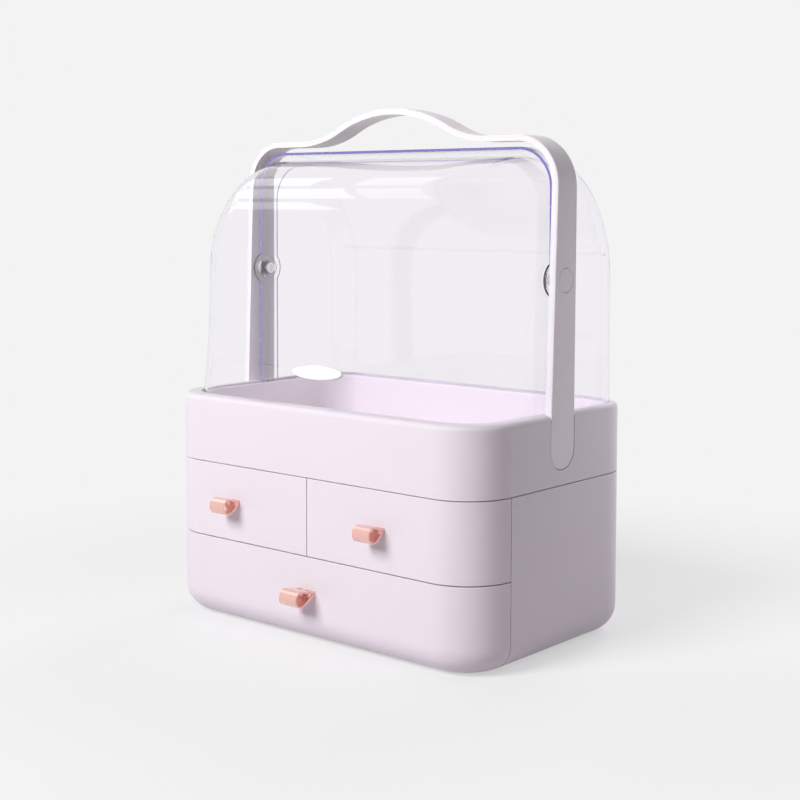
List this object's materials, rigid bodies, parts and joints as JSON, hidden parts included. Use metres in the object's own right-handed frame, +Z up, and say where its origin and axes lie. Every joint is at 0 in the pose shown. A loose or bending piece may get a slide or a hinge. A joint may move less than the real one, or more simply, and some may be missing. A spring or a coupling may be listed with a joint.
{
  "type": "vanity case",
  "caption": "Dustproof vanity case with small drawers over a wide one, an open tray under a clear two-part cover that swings up and back, and a carrying handle.",
  "frame": {"origin": "middle of the flat underside of the body", "axes": "+Z up, -Y towards the front where the drawers open, +X to the viewer's right when facing the front"},
  "size_m": [0.3, 0.2096, 0.3773],
  "materials": {
    "body_plastic": "satin moulded plastic, very pale lilac",
    "inner_plastic": "satin moulded plastic, pale lilac",
    "handle_plastic": "satin moulded plastic, very pale lilac",
    "clear_plastic": "polished clear plastic",
    "tab_plastic": "gloss white plastic",
    "rose_metal": "satin rose-gold plating",
    "steel": "bright zinc plating",
    "spacer_plastic": "natural nylon",
    "pad_rubber": "matt grey rubber"
  },
  "bodies": {
    "case": {"cabinet_shell": "body_plastic", "tray_frame": "body_plastic", "cabinet_shelf": "inner_plastic", "cabinet_deck": "inner_plastic", "cabinet_divider": "inner_plastic", "tray_liner": "inner_plastic", "handle_strip": "handle_plastic", "handle_frame": "handle_plastic", "hinge_cap_left": "handle_plastic", "hinge_cap_right": "handle_plastic", "rear_cover": "clear_plastic", "hinge_screw_left": "steel", "hinge_screw_right": "steel", "hinge_nut_left": "steel", "hinge_nut_right": "steel", "leg_screw_left_low": "steel", "leg_screw_left_high": "steel", "leg_screw_right_low": "steel", "leg_screw_right_high": "steel", "tray_screw_front_left": "steel", "tray_screw_front_right": "steel", "tray_screw_back_left": "steel", "tray_screw_back_right": "steel", "hinge_spacer_left": "spacer_plastic", "hinge_spacer_right": "spacer_plastic", "foot_pad_front_left": "pad_rubber", "foot_pad_front_right": "pad_rubber", "foot_pad_back_left": "pad_rubber", "foot_pad_back_right": "pad_rubber"},
    "drawer_left": {"drawer_front_left": "body_plastic", "drawer_box_left": "inner_plastic", "drawer_pull_left": "rose_metal", "pull_keeper_left": "steel"},
    "drawer_right": {"drawer_front_right": "body_plastic", "drawer_box_right": "inner_plastic", "drawer_pull_right": "rose_metal", "pull_keeper_right": "steel"},
    "drawer_bottom": {"drawer_front_bottom": "body_plastic", "drawer_box_bottom": "inner_plastic", "drawer_pull_bottom": "rose_metal", "pull_keeper_bottom": "steel"},
    "opening_cover": {"front_cover": "clear_plastic", "cover_tab": "tab_plastic"}
  },
  "joints": [
    {"name": "drawer_left_slide", "type": "slide", "parent": "case", "child": "drawer_left", "axis": [0, -1, 0], "range_m": [0, 0.11]},
    {"name": "drawer_right_slide", "type": "slide", "parent": "case", "child": "drawer_right", "axis": [0, -1, 0], "range_m": [0, 0.11]},
    {"name": "drawer_bottom_slide", "type": "slide", "parent": "case", "child": "drawer_bottom", "axis": [0, -1, 0], "range_m": [0, 0.11]},
    {"name": "cover_hinge", "type": "hinge", "parent": "case", "child": "opening_cover", "pos_m": [0, 0.0024, 0.2565], "axis": [-1, 0, 0], "range_deg": [0, 90]}
  ]
}
